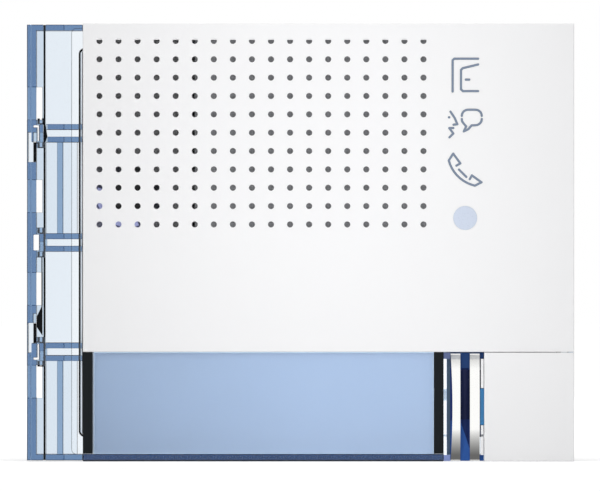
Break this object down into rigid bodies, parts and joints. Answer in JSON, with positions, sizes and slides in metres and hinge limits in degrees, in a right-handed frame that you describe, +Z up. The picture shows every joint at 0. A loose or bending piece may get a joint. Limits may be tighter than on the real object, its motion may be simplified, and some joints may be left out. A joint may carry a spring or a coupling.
{
  "type": "door intercom module",
  "caption": "Flush door intercom module with speaker grille, status pictograms, label window, sprung call button and a transparent latch strip, with its speaker unit behind.",
  "frame": {"origin": "centre of the carrier's rear face, where the module rests on its mounting frame", "axes": "+Y into the wall, so the front faces -Y; +X to the right seen from the front; +Z up"},
  "size_m": [0.115, 0.033, 0.092],
  "materials": {
    "blue_plastic": "transparent light blue polycarbonate",
    "white_plastic": "white, smooth, satin gloss",
    "dark_plastic": "near black, glossy",
    "black_plastic": "black, fine texture",
    "grey_plastic": "grey, moulded",
    "spring_chrome": "bright plated spring steel",
    "steel": "zinc plated",
    "black_steel": "steel with a black oxide finish",
    "magnet": "plain magnet steel",
    "rubber": "soft black",
    "foam": "open foam, dark grey",
    "mesh_cloth": "woven acoustic cloth",
    "cone_paper": "pressed paper",
    "card": "plain paper card",
    "milky_plastic": "milky light diffuser",
    "pictogram_plastic": "grey-blue light guide",
    "lens_plastic": "pale blue lens",
    "light_blue_guide": "blue light guide",
    "clear_plastic": "clear light guide",
    "board_green": "solder resist on glass laminate",
    "contact_brass": "plated contact",
    "terminal_green": "green terminal plastic"
  },
  "bodies": {
    "module": {"carrier_frame": "blue_plastic", "opening_seal": "rubber", "front_plate": "white_plastic", "door_pictogram": "pictogram_plastic", "talk_pictogram": "pictogram_plastic", "handset_pictogram": "pictogram_plastic", "icon_diffuser": "milky_plastic", "sensor_lens": "lens_plastic", "light_pipes": "clear_plastic", "status_leds": "milky_plastic", "acoustic_mesh": "mesh_cloth", "speaker_gasket": "foam", "speaker_basket": "steel", "speaker_magnet": "magnet", "speaker_surround": "rubber", "speaker_contacts": "contact_brass", "mic_boot": "rubber", "mic_capsule": "steel", "mic_contacts": "contact_brass", "mic_collar": "blue_plastic", "label_window": "blue_plastic", "label_lip": "blue_plastic", "label_end_left": "dark_plastic", "label_end_right": "dark_plastic", "label_card": "card", "label_diffuser": "milky_plastic", "label_tray": "white_plastic", "label_leds": "milky_plastic", "hinge_pin": "black_steel", "spring_clip": "spring_chrome", "clip_holder": "blue_plastic", "holder_base": "black_plastic", "switch_body": "black_plastic", "inner_chassis": "white_plastic", "rear_housing": "black_plastic", "main_board": "board_green", "housing_screws": "steel", "board_screws": "steel", "bus_socket_left": "white_plastic", "bus_socket_right": "white_plastic", "bus_pins": "contact_brass", "terminal_header": "terminal_green", "terminal_pins": "contact_brass", "speaker_trimmer": "grey_plastic", "mic_trimmer": "grey_plastic", "audio_chip": "black_plastic", "power_capacitors": "grey_plastic", "line_transformer": "magnet"},
    "call_button": {"button_cap": "white_plastic", "button_light": "light_blue_guide", "button_lever": "black_plastic"},
    "switch_plunger": {"switch_plunger": "grey_plastic"},
    "latch": {"latch_strip": "dark_plastic", "detent_spring": "dark_plastic"},
    "speaker_cone": {"speaker_cone": "cone_paper"},
    "terminal_plug": {"terminal_plug": "terminal_green", "terminal_screws": "steel"},
    "speaker_volume_knob": {"speaker_trimmer_knob": "grey_plastic"},
    "mic_volume_knob": {"mic_trimmer_knob": "grey_plastic"}
  },
  "joints": [
    {"name": "call_button_hinge", "type": "hinge", "parent": "module", "child": "call_button", "pos_m": [0.03461, -0.0052, -0.032], "axis": [0, 0, 1], "range_deg": [0, 3], "stiffness_Nm_per_rad": 0.2, "springref_deg": -5.73},
    {"name": "switch_press", "type": "slide", "parent": "module", "child": "switch_plunger", "axis": [0, 1, 0], "range_m": [0, 0.0006]},
    {"name": "latch_slide", "type": "slide", "parent": "module", "child": "latch", "axis": [0, 0, 1], "range_m": [0, 0.002]},
    {"name": "cone_move", "type": "slide", "parent": "module", "child": "speaker_cone", "axis": [0, 1, 0], "range_m": [-0.0004, 0.0004], "stiffness_N_per_m": 500, "deforming": ["speaker_surround"]},
    {"name": "plug_pull", "type": "slide", "parent": "module", "child": "terminal_plug", "axis": [0, 1, 0], "range_m": [0, 0.008]},
    {"name": "speaker_volume_turn", "type": "hinge", "parent": "module", "child": "speaker_volume_knob", "pos_m": [0.01, 0.016, -0.008], "axis": [0, 1, 0], "range_deg": [-130, 130]},
    {"name": "mic_volume_turn", "type": "hinge", "parent": "module", "child": "mic_volume_knob", "pos_m": [0.022, 0.016, -0.008], "axis": [0, 1, 0], "range_deg": [-130, 130]}
  ],
  "couplings": [
    {"joint": "switch_press", "follows": "call_button_hinge", "m_per_rad": 0.01}
  ]
}
